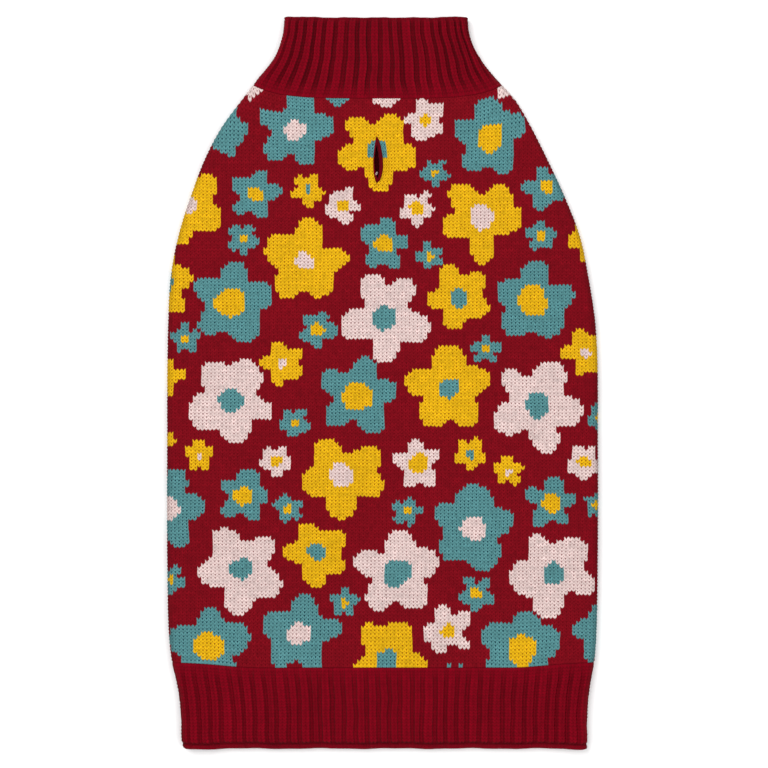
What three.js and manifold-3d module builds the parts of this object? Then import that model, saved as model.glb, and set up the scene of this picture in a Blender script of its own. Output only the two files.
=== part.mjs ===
// A knitted dog sweater, laid flat on its chest side with its back up. Millimetres, +Z up,
// the neck towards +Y. The origin is at the middle of the outline, on the surface it lies on.
import * as THREE from 'three';
import { mergeVertices } from 'three/addons/utils/BufferGeometryUtils.js';
import Module from 'manifold-3d';

// Driving sizes
const NECK_EDGE = 225;
const COLLAR_SEAM = 175.3;
const HEM_SEAM = -171.8;
const HEM_EDGE = -225;
const SEAM_GAP = 0.3;
const CLOTH = 2.4;
const PLY_GAP = 0.6;
const UNDERLAP = 26;

// Side folds: how high the folded cloth stands, how far in its round part reaches, and how far
// in from it the upper layer takes to settle onto the lower one
const FOLD_HEIGHT = 8;
const FOLD_REACH = 5;
const FOLD_SETTLE = 24;
const REST_HEIGHT = 2 * CLOTH + PLY_GAP;

// Ribs, two knitted columns and a sunken one each, counted from fold to fold over the top
const COLLAR_RIBS = 21;
const HEM_RIBS = 37;
const RIB_RISE = 1.2;
const RIB_CROWN = [0.26, 0.74];
const COLLAR_CROWDING = THREE.MathUtils.degToRad(50);
const HEM_CROWDING = THREE.MathUtils.degToRad(35);

// Leash slit in the back and leg openings in the chest
const SLIT = { x: -3.4, y: 137.4, length: 28, width: 6.2 };
const LEG = { x: 47, y: 107, across: 20, along: 29, band: 8 };

// The outline as it lies: how far the left and right folds reach at each height
const OUTLINE = [
  { y: NECK_EDGE, left: 60.6, right: 56.6 },
  { y: 213, left: 62.0, right: 56.6 },
  { y: 200, left: 67.0, right: 60.5 },
  { y: 188, left: 76.4, right: 69.5 },
  { y: COLLAR_SEAM, left: 86.0, right: 81.0 },
  { y: 158, left: 98.8, right: 91.4 },
  { y: 139, left: 109.0, right: 101.0 },
  { y: 115, left: 118.2, right: 112.2 },
  { y: 90, left: 126.0, right: 121.8 },
  { y: 65, left: 130.6, right: 127.0 },
  { y: 35, left: 132.2, right: 131.4 },
  { y: -40, left: 132.8, right: 132.8 },
  { y: -120, left: 132.6, right: 132.6 },
  { y: -156, left: 131.6, right: 131.8 },
  { y: HEM_SEAM, left: 129.8, right: 130.6 },
  { y: -192, left: 125.8, right: 127.4 },
  { y: -208, left: 124.4, right: 126.4 },
  { y: -222, left: 123.8, right: 126.4 },
  { y: HEM_EDGE, left: 122.4, right: 126.0 },
];

// Soft rises of the upper layer: middle, half widths, and height over the rest
const RISES = [
  { x: -3.4, y: 137, across: 22, along: 30, height: 1.6 },
  { x: -56, y: 166, across: 9, along: 22, height: 1.3 },
  { x: 50, y: 166, across: 10, along: 20, height: 1.1 },
  { x: 48, y: 106, across: 44, along: 50, height: 1.4 },
  { x: -49, y: 108, across: 44, along: 50, height: 1.4 },
  { x: 20, y: 20, across: 70, along: 60, height: 1.0 },
  { x: -60, y: -70, across: 50, along: 46, height: 1.2 },
  { x: 70, y: -110, across: 40, along: 52, height: 1.1 },
  { x: -66, y: -186, across: 16, along: 40, height: 1.0 },
  { x: 40, y: -196, across: 46, along: 18, height: 0.7 },
];

// Ribs along each band: how much of their rise they have at each height. They sink into a fine line
// just short of the bound edge.
const COLLAR_RELIEF = [
  { y: COLLAR_SEAM + SEAM_GAP, share: 0.3 },
  { y: 180, share: 1 },
  { y: 188, share: 1 },
  { y: 197, share: 1 },
  { y: 209, share: 1 },
  { y: 222.2, share: 0.9 },
  { y: 223.4, share: 0.35 },
  { y: NECK_EDGE, share: 0.6 },
];
const HEM_RELIEF = [
  { y: HEM_SEAM - SEAM_GAP, share: 0.3 },
  { y: -176, share: 1 },
  { y: -192, share: 1 },
  { y: -208, share: 1 },
  { y: -219.8, share: 1 },
  { y: -221.3, share: 0.1 },
  { y: -223.2, share: 0.7 },
  { y: HEM_EDGE, share: 0.2 },
];

// How finely the surfaces are stepped
const PANEL_ROWS = 20;
const PANEL_COLUMNS = 20;
const ARC_STEPS = 5;
const OVAL_STEPS = 24;
const SLIT_STEPS = 8;
const WELD_DISTANCE = 1e-4;

const outlineRows = [...OUTLINE].reverse();
const outlineCurve = new THREE.CubicInterpolant(
  outlineRows.map((row) => row.y),
  outlineRows.flatMap((row) => [row.left, row.right]),
  2,
);

// The left and right folds at one height, as a middle and a half width
function foldsAt(y) {
  const [left, right] = outlineCurve.evaluate(y);
  return { middle: (right - left) / 2, half: (right + left) / 2 };
}

// 1 at the middle of a rise, falling smoothly to 0 at its rim
function bump(across, along) {
  const distance = Math.min(1, Math.hypot(across, along));
  return (1 + Math.cos(Math.PI * distance)) / 2;
}

// The upper layer's outer height, before it turns down at the folds
function upperHeight(x, y) {
  const { middle, half } = foldsAt(y);
  const inward = Math.max(0, half - FOLD_REACH - Math.abs(x - middle));
  const settled = THREE.MathUtils.smoothstep(inward, 0, FOLD_SETTLE);
  const rises = RISES.reduce(
    (sum, rise) => sum + rise.height * bump((x - rise.x) / rise.across, (y - rise.y) / rise.along),
    0,
  );
  return THREE.MathUtils.lerp(FOLD_HEIGHT, REST_HEIGHT + rises, settled);
}

// How much of a layer's height over the fold's middle is left at x: 1 inside the round part, 0 on the fold
function roundOff(x, y, inset) {
  const { middle, half } = foldsAt(y);
  const into = (Math.abs(x - middle) - (half - FOLD_REACH)) / (FOLD_REACH - inset);
  return Math.sqrt(1 - THREE.MathUtils.clamp(into, 0, 1) ** 2);
}

// A point of the flattened tube's skin. inset 0 is the outside and CLOTH the inside.
function upperPoint(x, y, inset, lift = 0) {
  const over = upperHeight(x, y) - inset - FOLD_HEIGHT / 2;
  return new THREE.Vector3(x, y, FOLD_HEIGHT / 2 + (over + lift) * roundOff(x, y, inset));
}

function lowerPoint(x, y, inset) {
  const under = FOLD_HEIGHT / 2 - inset;
  return new THREE.Vector3(x, y, FOLD_HEIGHT / 2 - under * roundOff(x, y, inset));
}

// Where a share of the half width lies, from -1 at the left fold to 1 at the right one
function placeAcross(y, share, inset) {
  const { middle, half } = foldsAt(y);
  return middle + share * (half - inset);
}

// A closed solid between two skins. Each row holds the points of one section, and every section
// has the same number. A looped section closes on itself as a tube does.
function wall(outerRows, innerRows, looped) {
  const across = outerRows[0].length;
  const rows = outerRows.length;
  const positions = [...outerRows, ...innerRows].flat().flatMap((point) => point.toArray());
  const outer = (row, column) => row * across + (column % across);
  const inner = (row, column) => rows * across + outer(row, column);
  const triangles = [];
  const quad = (a, b, c, d) => triangles.push(a, b, c, a, c, d);
  const spans = looped ? across : across - 1;
  for (let row = 0; row < rows - 1; row += 1) {
    for (let column = 0; column < spans; column += 1) {
      quad(outer(row, column), outer(row, column + 1), outer(row + 1, column + 1), outer(row + 1, column));
      quad(inner(row, column), inner(row + 1, column), inner(row + 1, column + 1), inner(row, column + 1));
    }
  }
  const last = rows - 1;
  for (let column = 0; column < spans; column += 1) {
    quad(inner(0, column), inner(0, column + 1), outer(0, column + 1), outer(0, column));
    quad(outer(last, column), outer(last, column + 1), inner(last, column + 1), inner(last, column));
  }
  if (!looped) {
    const edge = across - 1;
    for (let row = 0; row < last; row += 1) {
      quad(inner(row, 0), outer(row, 0), outer(row + 1, 0), inner(row + 1, 0));
      quad(outer(row, edge), inner(row, edge), inner(row + 1, edge), outer(row + 1, edge));
    }
  }
  const geometry = new THREE.BufferGeometry();
  geometry.setAttribute('position', new THREE.Float32BufferAttribute(positions, 3));
  geometry.setIndex(facesOut(positions, triangles) ? triangles : triangles.reverse());
  return geometry;
}

// True if the triangles enclose a positive volume
function facesOut(positions, triangles) {
  const corner = (index) => new THREE.Vector3().fromArray(positions, 3 * index);
  let sixVolumes = 0;
  for (let i = 0; i < triangles.length; i += 3) {
    const [a, b, c] = [corner(triangles[i]), corner(triangles[i + 1]), corner(triangles[i + 2])];
    sixVolumes += a.dot(b.cross(c));
  }
  return sixVolumes > 0;
}

// Shares of the half width from where a fold's round part begins to just short of the fold itself
function roundShares(y, inset) {
  const { half } = foldsAt(y);
  return Array.from({ length: ARC_STEPS }, (_, step) => {
    const angle = (step / ARC_STEPS) * (Math.PI / 2);
    return (half - FOLD_REACH + (FOLD_REACH - inset) * Math.sin(angle)) / (half - inset);
  });
}

// The lower layer's points on one side, from the flat part out to just short of the fold
function lowerRound(y, side, inset) {
  return roundShares(y, inset).map((share) => lowerPoint(placeAcross(y, side * share, inset), y, inset));
}

// The back panel's section at one height: from its right seam, under the right fold, over the top
// and under the left fold to its left seam
function backSection(y, inset) {
  const { middle, half } = foldsAt(y);
  const [flat, ...round] = roundShares(y, inset);
  const top = spaced(flat, -flat, PANEL_COLUMNS);
  const upper = [1, ...round.toReversed(), ...top, ...round.map((share) => -share), -1];
  const seam = (side) => lowerPoint(middle + side * (half - UNDERLAP), y, inset);
  return [
    seam(1),
    ...lowerRound(y, 1, inset),
    ...upper.map((share) => upperPoint(placeAcross(y, share, inset), y, inset)),
    ...lowerRound(y, -1, inset).toReversed(),
    seam(-1),
  ];
}

function spaced(from, to, count) {
  return Array.from({ length: count + 1 }, (_, step) => THREE.MathUtils.lerp(from, to, step / count));
}

function backPanel(wasm) {
  const rows = spaced(COLLAR_SEAM, HEM_SEAM, PANEL_ROWS);
  const cloth = wall(
    rows.map((y) => backSection(y, 0)),
    rows.map((y) => backSection(y, CLOTH)),
    false,
  );
  const cut = solidOf(wasm, cloth).subtract(solidOf(wasm, slitCutter()));
  return geometryOf(cut);
}

// A pointed oval prism that opens the leash slit through the upper layer only
function slitCutter() {
  const half = SLIT.length / 2;
  const side = (sign) =>
    Array.from({ length: SLIT_STEPS }, (_, step) => {
      const along = THREE.MathUtils.lerp(-half, half, step / SLIT_STEPS) * sign;
      const across = (SLIT.width / 2) * (1 - (along / half) ** 2) * -sign;
      return new THREE.Vector2(SLIT.x + across, SLIT.y + along);
    });
  const shape = new THREE.Shape([...side(1), ...side(-1)]);
  const cutter = new THREE.ExtrudeGeometry(shape, { depth: 2 * FOLD_HEIGHT, bevelEnabled: false });
  return cutter.translate(0, 0, CLOTH + PLY_GAP / 2);
}

function solidOf(wasm, geometry) {
  const bare = geometry.clone();
  bare.deleteAttribute('normal');
  bare.deleteAttribute('uv');
  const merged = mergeVertices(bare, WELD_DISTANCE);
  return new wasm.Manifold(
    new wasm.Mesh({
      numProp: 3,
      vertProperties: new Float32Array(merged.attributes.position.array),
      triVerts: new Uint32Array(merged.index.array),
    }),
  );
}

function geometryOf(solid) {
  const mesh = solid.getMesh();
  const geometry = new THREE.BufferGeometry();
  geometry.setAttribute('position', new THREE.BufferAttribute(mesh.vertProperties, mesh.numProp));
  geometry.setIndex(new THREE.BufferAttribute(mesh.triVerts, 1));
  return geometry;
}

// A flat ring of knitting's outline: an oval round a leg opening
function legOval(side, widen) {
  return new THREE.Path().absellipse(
    side * LEG.x,
    LEG.y,
    LEG.across + widen,
    LEG.along + widen,
    0,
    2 * Math.PI,
    false,
    0,
  );
}

// The chest panel lies between the back panel's two seams, flat on the surface
function chestPanel() {
  const rows = spaced(COLLAR_SEAM, HEM_SEAM, PANEL_ROWS);
  const edge = (side) =>
    rows.map((y) => {
      const { middle, half } = foldsAt(y);
      return new THREE.Vector2(middle + side * (half - UNDERLAP - SEAM_GAP), y);
    });
  const shape = new THREE.Shape([...edge(1), ...edge(-1).reverse()]);
  shape.holes.push(legOval(1, LEG.band + SEAM_GAP), legOval(-1, LEG.band + SEAM_GAP));
  return new THREE.ExtrudeGeometry(shape, { depth: CLOTH, bevelEnabled: false, curveSegments: OVAL_STEPS });
}

function legBand(side) {
  const shape = new THREE.Shape(legOval(side, LEG.band).getPoints(OVAL_STEPS));
  shape.holes.push(legOval(side, 0));
  return new THREE.ExtrudeGeometry(shape, { depth: CLOTH, bevelEnabled: false, curveSegments: OVAL_STEPS });
}

// Where each groove and crown of the ribs lies over the top, from the right fold to the left one.
// Ribs crowd together towards the folds.
function ribMarks(ribs, crowding) {
  const marks = [];
  for (let rib = 0; rib < ribs; rib += 1) {
    marks.push({ at: rib / ribs, lift: 0 });
    RIB_CROWN.forEach((crown) => marks.push({ at: (rib + crown) / ribs, lift: RIB_RISE }));
  }
  marks.push({ at: 1, lift: 0 });
  return marks.map(({ at, lift }) => ({
    share: Math.sin((1 - 2 * at) * crowding) / Math.sin(crowding),
    lift,
  }));
}

// A band of ribbed knitting, a flattened tube with its ribs raised over the top and a plain flat underside
function ribbedBand(relief, ribs, crowding) {
  const marks = ribMarks(ribs, crowding);
  const section = (y, inset, share) => [
    ...marks.map((mark) => upperPoint(placeAcross(y, mark.share, inset), y, inset, mark.lift * share)),
    ...lowerRound(y, -1, inset).toReversed(),
    ...lowerRound(y, 1, inset),
  ];
  return wall(
    relief.map(({ y, share }) => section(y, 0, share)),
    relief.map(({ y }) => section(y, CLOTH, 0)),
    true,
  );
}

const wasm = await Module();
wasm.setup();

const garnetJacquard = new THREE.MeshStandardMaterial({ color: '#7d0f20', roughness: 0.9, metalness: 0 });
const garnetRib = new THREE.MeshStandardMaterial({ color: '#720c1b', roughness: 0.9, metalness: 0 });

const sweater = new THREE.Group();

function addPiece(name, geometry, material) {
  const piece = new THREE.Mesh(geometry, material);
  piece.name = name;
  sweater.add(piece);
}

addPiece('back_panel', backPanel(wasm), garnetJacquard);
addPiece('chest_panel', chestPanel(), garnetJacquard);
addPiece('collar_rib', ribbedBand(COLLAR_RELIEF, COLLAR_RIBS, COLLAR_CROWDING), garnetRib);
addPiece('hem_rib', ribbedBand(HEM_RELIEF, HEM_RIBS, HEM_CROWDING), garnetRib);
addPiece('leg_band_left', legBand(-1), garnetRib);
addPiece('leg_band_right', legBand(1), garnetRib);

export default sweater;
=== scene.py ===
# A knitted dog sweater, laid flat with its back up: stitches, flowers, ribs, light and camera.
# Lengths are millimetres until a mesh is made from them.
import math

import bpy
import numpy as np
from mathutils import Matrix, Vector
from mathutils.geometry import delaunay_2d_cdt


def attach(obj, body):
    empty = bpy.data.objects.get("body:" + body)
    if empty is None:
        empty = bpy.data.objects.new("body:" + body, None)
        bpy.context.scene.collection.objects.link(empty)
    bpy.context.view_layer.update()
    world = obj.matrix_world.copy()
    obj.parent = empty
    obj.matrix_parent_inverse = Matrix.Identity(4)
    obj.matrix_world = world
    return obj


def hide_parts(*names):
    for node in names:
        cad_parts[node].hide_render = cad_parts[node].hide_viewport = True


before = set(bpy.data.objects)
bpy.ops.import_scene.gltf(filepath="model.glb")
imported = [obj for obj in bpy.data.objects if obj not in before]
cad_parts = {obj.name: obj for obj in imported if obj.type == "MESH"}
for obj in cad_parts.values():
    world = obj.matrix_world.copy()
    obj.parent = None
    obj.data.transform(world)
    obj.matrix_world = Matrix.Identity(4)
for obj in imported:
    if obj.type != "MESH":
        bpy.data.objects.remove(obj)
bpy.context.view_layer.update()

MM = 0.001

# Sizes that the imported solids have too
NECK_EDGE, COLLAR_SEAM, HEM_SEAM, HEM_EDGE = 225.0, 175.3, -171.8, -225.0
SEAM_GAP, CLOTH, PLY_GAP, UNDERLAP = 0.3, 2.4, 0.6, 26.0
FOLD_HEIGHT, FOLD_REACH, FOLD_SETTLE = 8.0, 5.0, 24.0
COLLAR_RIBS, HEM_RIBS, RIB_RISE = 21, 37, 1.2
SLIT_X, SLIT_Y, SLIT_LENGTH, SLIT_WIDTH = -3.4, 137.4, 28.0, 6.2
LEG_X, LEG_Y, LEG_ACROSS, LEG_ALONG, LEG_BAND = 47.0, 107.0, 20.0, 29.0, 8.0

# What follows: the way round a fold is half an ellipse, by Ramanujan's formula, and the holes are
# the chest panel's, round its leg bands
REST_HEIGHT = 2 * CLOTH + PLY_GAP
FOLD_HALF = FOLD_HEIGHT / 2
ARC = math.pi / 2 * (
    3 * (FOLD_REACH + FOLD_HALF) - math.sqrt((3 * FOLD_REACH + FOLD_HALF) * (FOLD_REACH + 3 * FOLD_HALF))
)
HOLE_ACROSS, HOLE_ALONG = LEG_ACROSS + LEG_BAND + SEAM_GAP, LEG_ALONG + LEG_BAND + SEAM_GAP

# Height in mm, how strongly the ribs crowd toward the folds there, and how far their widest part is
# off the middle, both as angles in degrees
COLLAR_CROWDING = ((176, 28, 14), (186, 36, 13), (196, 54, 10), (206, 63, 9))
HEM_CROWDING = ((-225, 18, -1),)
# Height, and how far the ribs draw the right fold of the collar in near its edge
DRAWN_IN = np.array([(200, 0), (206, 1.2), (213.5, 2.5), (221, 3.6), (225, 3.9)], float)

# The outline as it lies: height, and how far the left and right folds reach
OUTLINE = np.array([
    (-225, 122.4, 126.0), (-222, 123.8, 126.4), (-208, 124.4, 126.4), (-192, 125.8, 127.4),
    (-171.8, 129.8, 130.6), (-156, 131.6, 131.8), (-120, 132.6, 132.6), (-40, 132.8, 132.8),
    (35, 132.2, 131.4), (65, 130.6, 127.0), (90, 126.0, 121.8), (115, 118.2, 112.2),
    (139, 109.0, 101.0), (158, 98.8, 91.4), (175.3, 86.0, 81.0), (188, 76.4, 69.5),
    (200, 67.0, 60.5), (213, 62.0, 56.6), (225, 60.6, 56.6),
])

# Soft rises of the upper layer: middle x and y, half widths, and height over the rest
RISES = (
    (-3.4, 137, 22, 30, 1.6), (-56, 166, 9, 22, 1.3), (50, 166, 10, 20, 1.1),
    (48, 106, 44, 50, 1.4), (-49, 108, 44, 50, 1.4), (20, 20, 70, 60, 1.0),
    (-60, -70, 50, 46, 1.2), (70, -110, 40, 52, 1.1), (-66, -186, 16, 40, 1.0),
    (40, -196, 46, 18, 0.7), (-57.5, 166, 2.4, 15, -0.5),
)

# Knitting: width of a stitch column, height of a course, how much higher a stitch's arms end than
# its foot, and how deep the valleys between the yarns and along a panel's edges are
WALE, COURSE, ARM, VALLEY, EDGE_DEPTH = 2.4, 2.06, 1.25, 0.62, 1.1
HALF_WALE = WALE / 2
KNIT_CELL = np.array([HALF_WALE, COURSE])

# How far single stitches stray from their place, how much their tones differ, and how near to a
# panel's side edge a column falls onto it
STRAY, STITCH_TONE, EDGE_SLACK = 0.09, 0.045, 0.3 * WALE

# How far a band's first course lies over the panel's last one, and how deep
SEAM_LAP, SEAM_SINK = 0.25, 0.35

# How far the seams bow along Y where they near the folds, and how far from them that fades
COLLAR_BOW, HEM_BOW, BOW_REACH = 8.0, 3.5, 22.0

# The share of the slit's width to the left of its line, how far from it the cloth is pushed aside,
# how far its creases run on past half its length, and the half sizes of the painted shade on the inner face
# seen through it
SLIT_LEFT, SLIT_SPREAD, CREASE_END, SLIT_SHADE_ACROSS, SLIT_SHADE_ALONG = 0.37, 14, 1.25, 14, 24

# The slit's rolled edge: its thinnest radius, and how much thicker it gets
ROLL_THIN, ROLL_GROWTH = 0.28, 1.2

# The chest panel's half width, rounded up
CHEST_REACH = 107

# The bake map, in mm: how small inner faces lie on it and where, where the yarn end lies, how wide
# the panels' rims are, and a leg band's length
INNER_SHRINK, BACK_INNER, CHEST_INNER = 0.12, (138, 150), (130, 0)
YARN_END_SPOT, RIM_WIDTH, LEG_ROUND = 165.0, 1.2, 176

# Painted shade: how much darker the cloth is coloured where it turns down at a fold, and how near to it on
# the bands
FOLD_SHADE, FOLD_SHADE_REACH = 0.28, 2.2

# The photograph: its side in pixels, its scale, and the pixel at the outline's middle
PHOTO_PIXELS, PIXEL_MM, MIDDLE_PX, MIDDLE_PY = 768, 0.615, 382.5, 383.0

GROUND, TEAL, MUSTARD, BLUSH = range(4)

# Flowers: middle and reach in the photograph's pixels, yarn of the petals and of the heart,
# the heart's radius, and the angle of one petal, in degrees up from +X
FLOWERS = (
    (295, 130, 40, TEAL, BLUSH, 10.5, 8), (377, 150, 41, MUSTARD, TEAL, 9, -16),
    (490, 138, 39, TEAL, MUSTARD, 14, 93), (481, 217, 42.5, MUSTARD, BLUSH, 12, -13),
    (305, 261, 43, MUSTARD, BLUSH, 9, 84), (230, 303, 42, TEAL, MUSTARD, 15, 83),
    (385, 318, 45, BLUSH, TEAL, 12, -22), (459, 298, 33, MUSTARD, TEAL, 9, -29),
    (533, 301, 40.5, TEAL, MUSTARD, 15, 93), (231, 401, 44.5, BLUSH, TEAL, 12, -14),
    (358, 396, 41, TEAL, MUSTARD, 15, 82), (449, 388, 44, MUSTARD, TEAL, 10, 90),
    (537, 405, 48, BLUSH, TEAL, 12.5, -12), (342, 476, 42.5, MUSTARD, BLUSH, 12, -25),
    (473.5, 528, 42, TEAL, BLUSH, 12.5, 87), (241, 568.5, 44, BLUSH, TEAL, 11, -25),
    (397, 573, 44, BLUSH, TEAL, 14, 86), (554, 574, 45, BLUSH, TEAL, 11, -22),
    (317, 552, 32, MUSTARD, TEAL, 9, -31), (209, 647, 42, TEAL, MUSTARD, 15, 88),
    (299, 634, 41, TEAL, BLUSH, 11, 81), (386, 661, 44, MUSTARD, TEAL, 11, -16),
    (522, 650, 42, TEAL, MUSTARD, 15, 86), (168, 508, 40, TEAL, BLUSH, 12, 2),
    (188, 206, 39, MUSTARD, BLUSH, 8, 42), (225, 132, 24, TEAL, TEAL, 20, 0),
    (155, 284, 38, MUSTARD, TEAL, 17, 22), (585, 353, 25, MUSTARD, BLUSH, 5, 105),
    (590, 242, 23, MUSTARD, MUSTARD, 0, 180), (602, 633, 31, TEAL, TEAL, 0, 170),
    (165, 376, 19, MUSTARD, MUSTARD, 0, 0), (168, 440, 8, MUSTARD, MUSTARD, 0, 0),
    (547, 187, 24, TEAL, MUSTARD, 7, 107), (256, 194, 26, TEAL, MUSTARD, 7.5, 4),
    (384, 244, 27, TEAL, MUSTARD, 9, 80), (425, 120, 22, BLUSH, MUSTARD, 5.5, 104),
    (308, 190, 17, MUSTARD, TEAL, 4, -14), (343, 206, 18.5, BLUSH, MUSTARD, 6, 62),
    (417, 208, 17.5, BLUSH, MUSTARD, 7, 270), (435, 173, 15, TEAL, MUSTARD, 3.5, 270),
    (243, 239, 17, TEAL, MUSTARD, 4, -8), (430, 256, 15, TEAL, MUSTARD, 4, 110),
    (540, 236, 16.5, TEAL, MUSTARD, 4.5, 92), (317, 330, 20, TEAL, MUSTARD, 7, -5),
    (186, 339, 16, TEAL, MUSTARD, 4, 90), (283, 363, 23, MUSTARD, BLUSH, 5, 108),
    (486, 350, 16, TEAL, MUSTARD, 4, 92), (294, 422, 16, TEAL, MUSTARD, 3.5, 55),
    (199, 455, 16, MUSTARD, BLUSH, 3.5, 15), (277, 461, 17, BLUSH, MUSTARD, 5.5, 55),
    (418, 464, 26, BLUSH, MUSTARD, 9.5, 96), (471, 454, 17, MUSTARD, TEAL, 4, 274),
    (508, 472, 15.5, MUSTARD, BLUSH, 3.5, 20), (584, 462, 18, BLUSH, MUSTARD, 6, 55),
    (243, 496, 27, TEAL, MUSTARD, 9.5, 77), (288, 509, 15, TEAL, MUSTARD, 4, 105),
    (551, 503, 27, TEAL, MUSTARD, 9.5, 82), (407, 511, 15.5, TEAL, MUSTARD, 4, 0),
    (597, 505, 14, TEAL, MUSTARD, 4, 150), (602, 417, 16, TEAL, MUSTARD, 5, 120),
    (171, 579, 15, TEAL, MUSTARD, 4, -10), (476, 593, 18, TEAL, MUSTARD, 5.5, 55),
    (344, 603, 16, TEAL, MUSTARD, 4, 90), (448, 631, 25, BLUSH, MUSTARD, 7, 105),
    (386, 90, 17, BLUSH, BLUSH, 17, 270), (338, 94, 12, TEAL, TEAL, 12, 270),
    (251, 89, 11, BLUSH, BLUSH, 0, 60), (507, 88, 13, BLUSH, BLUSH, 0, 20),
    (448, 668, 4, TEAL, TEAL, 0, 0), (460, 669, 4, TEAL, TEAL, 0, 0),
    (198, 132, 15, MUSTARD, TEAL, 4, 10), (563, 128, 17, BLUSH, MUSTARD, 5, 40),
    (137, 215, 20, TEAL, MUSTARD, 6, 20), (626, 205, 20, MUSTARD, TEAL, 6, 10),
    (127, 258, 14, BLUSH, MUSTARD, 4, 60), (630, 290, 19, BLUSH, MUSTARD, 6, 50),
    (124, 330, 22, BLUSH, TEAL, 7, 10), (630, 340, 15, TEAL, MUSTARD, 4, 0),
    (138, 410, 18, TEAL, BLUSH, 5, 40), (634, 388, 20, BLUSH, TEAL, 6, 20),
    (122, 460, 16, MUSTARD, TEAL, 5, 80), (634, 455, 22, MUSTARD, BLUSH, 7, 70),
    (130, 560, 24, BLUSH, MUSTARD, 8, 0), (632, 540, 22, MUSTARD, TEAL, 7, 15),
    (128, 625, 22, MUSTARD, BLUSH, 7, 30), (646, 600, 15, BLUSH, MUSTARD, 4, 0),
)

# Half the ground left between two flowers, and the reach from which a flower's edge is trimmed,
# in pixels
FLOWER_GAP, TRIMMED_FROM = 1.8, 21

# How much petals differ: angle in degrees, and length and width as shares
PETAL_TURN, PETAL_LENGTH, PETAL_WIDTH = 4.5, 0.06, 0.12

rng = np.random.default_rng(7)


def smoothstep(t):
    t = np.clip(t, 0, 1)
    return t * t * (3 - 2 * t)


def between(values):
    """The middles of neighbouring values."""
    return (values[:-1] + values[1:]) / 2


def folds(y):
    """How far the left and right folds reach at each height."""
    at, reach = OUTLINE[:, 0], OUTLINE[:, 1:]
    slopes = np.diff(reach, axis=0) / np.diff(at)[:, None]
    bends = np.concatenate([slopes[:1], between(slopes), slopes[-1:]])
    i = np.clip(np.searchsorted(at, y, side="right") - 1, 0, len(at) - 2)
    step = (at[i + 1] - at[i])[..., None]
    p = np.clip((y - at[i])[..., None] / step, 0, 1)
    value = (
        (2 * p**3 - 3 * p**2 + 1) * reach[i]
        + (p**3 - 2 * p**2 + p) * step * bends[i]
        + (3 * p**2 - 2 * p**3) * reach[i + 1]
        + (p**3 - p**2) * step * bends[i + 1]
    )
    return value[..., 0], value[..., 1]


def middle_and_half(left, right):
    """x midway between two folds, and half the width between them."""
    return (right - left) / 2, (right + left) / 2


def top_height(x, y):
    """The upper layer's outer height, before it turns down at the folds."""
    middle, half = middle_and_half(*folds(y))
    settled = smoothstep((half - FOLD_REACH - np.abs(x - middle)) / FOLD_SETTLE)
    rises = np.zeros_like(x)
    for rise_x, rise_y, across, along, height in RISES:
        away = np.minimum(1, np.hypot((x - rise_x) / across, (y - rise_y) / along))
        rises += height * (1 + np.cos(math.pi * away)) / 2
    return FOLD_HEIGHT + (REST_HEIGHT + rises - FOLD_HEIGHT) * settled


def bow(out, y):
    """How far a point moves along Y, so that both seams bow as they lie. out is 0 in the middle and
    1 at a fold."""
    up = COLLAR_BOW * out**4 * np.exp(-(((y - COLLAR_SEAM) / BOW_REACH) ** 2))
    down = HEM_BOW * (1 - smoothstep((out - 0.6) / 0.4)) * np.exp(-(((y - HEM_SEAM) / BOW_REACH) ** 2))
    return up - down


def bowed(y, x_at):
    """The height where a point comes to lie. x_at gives its x at a height."""
    placed = y
    for _ in range(8):
        middle, half = middle_and_half(*folds(placed))
        out = np.clip(np.abs(x_at(placed) - middle) / half, 0, 1)
        placed = (placed + y + bow(out, y)) / 2
    return placed


def fold_round(s, y, depth):
    """x on the wrapped panel at s along its width, how far s is past the fold, and its turn there.
    0 is x = 0 on top, and beyond each fold the panel runs back under."""
    side = np.where(s < 0, -1.0, 1.0)
    flat = np.where(s < 0, *folds(y)) - FOLD_REACH
    out = np.abs(s) - flat
    turn = np.clip(out / ARC, 0, 1) * math.pi
    under = np.maximum(0, out - ARC)
    x = side * (np.minimum(np.abs(s), flat) + (FOLD_REACH - depth) * np.sin(turn) - under)
    return x, out, turn


def wrapped(s, y, depth):
    """The back panel's place: s along its width, its height, and how deep under its outer face."""
    placed = bowed(y, lambda at: fold_round(s, at, 0)[0])
    x, out, turn = fold_round(s, placed, depth)
    rounding = FOLD_HALF + (FOLD_HALF - depth) * np.cos(turn)
    z = np.where(out < 0, top_height(x, placed) - depth, rounding)
    return np.stack([x, placed, z], -1)


def underneath(s, y, depth):
    """The chest panel's place, its outer face down on the floor."""
    return np.stack([s, bowed(y, lambda _: s), depth], -1)


def edge_wave(share, y):
    """The small waves of the neck and hem edges."""
    wave = 0.4 * np.sin(share * 17 + 0.7) + 0.2 * np.sin(share * 41 + y / 60)
    return wave * smoothstep((np.abs(y) - 205) / 20) * np.where(y > 0, 0.35, 0.6)


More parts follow.
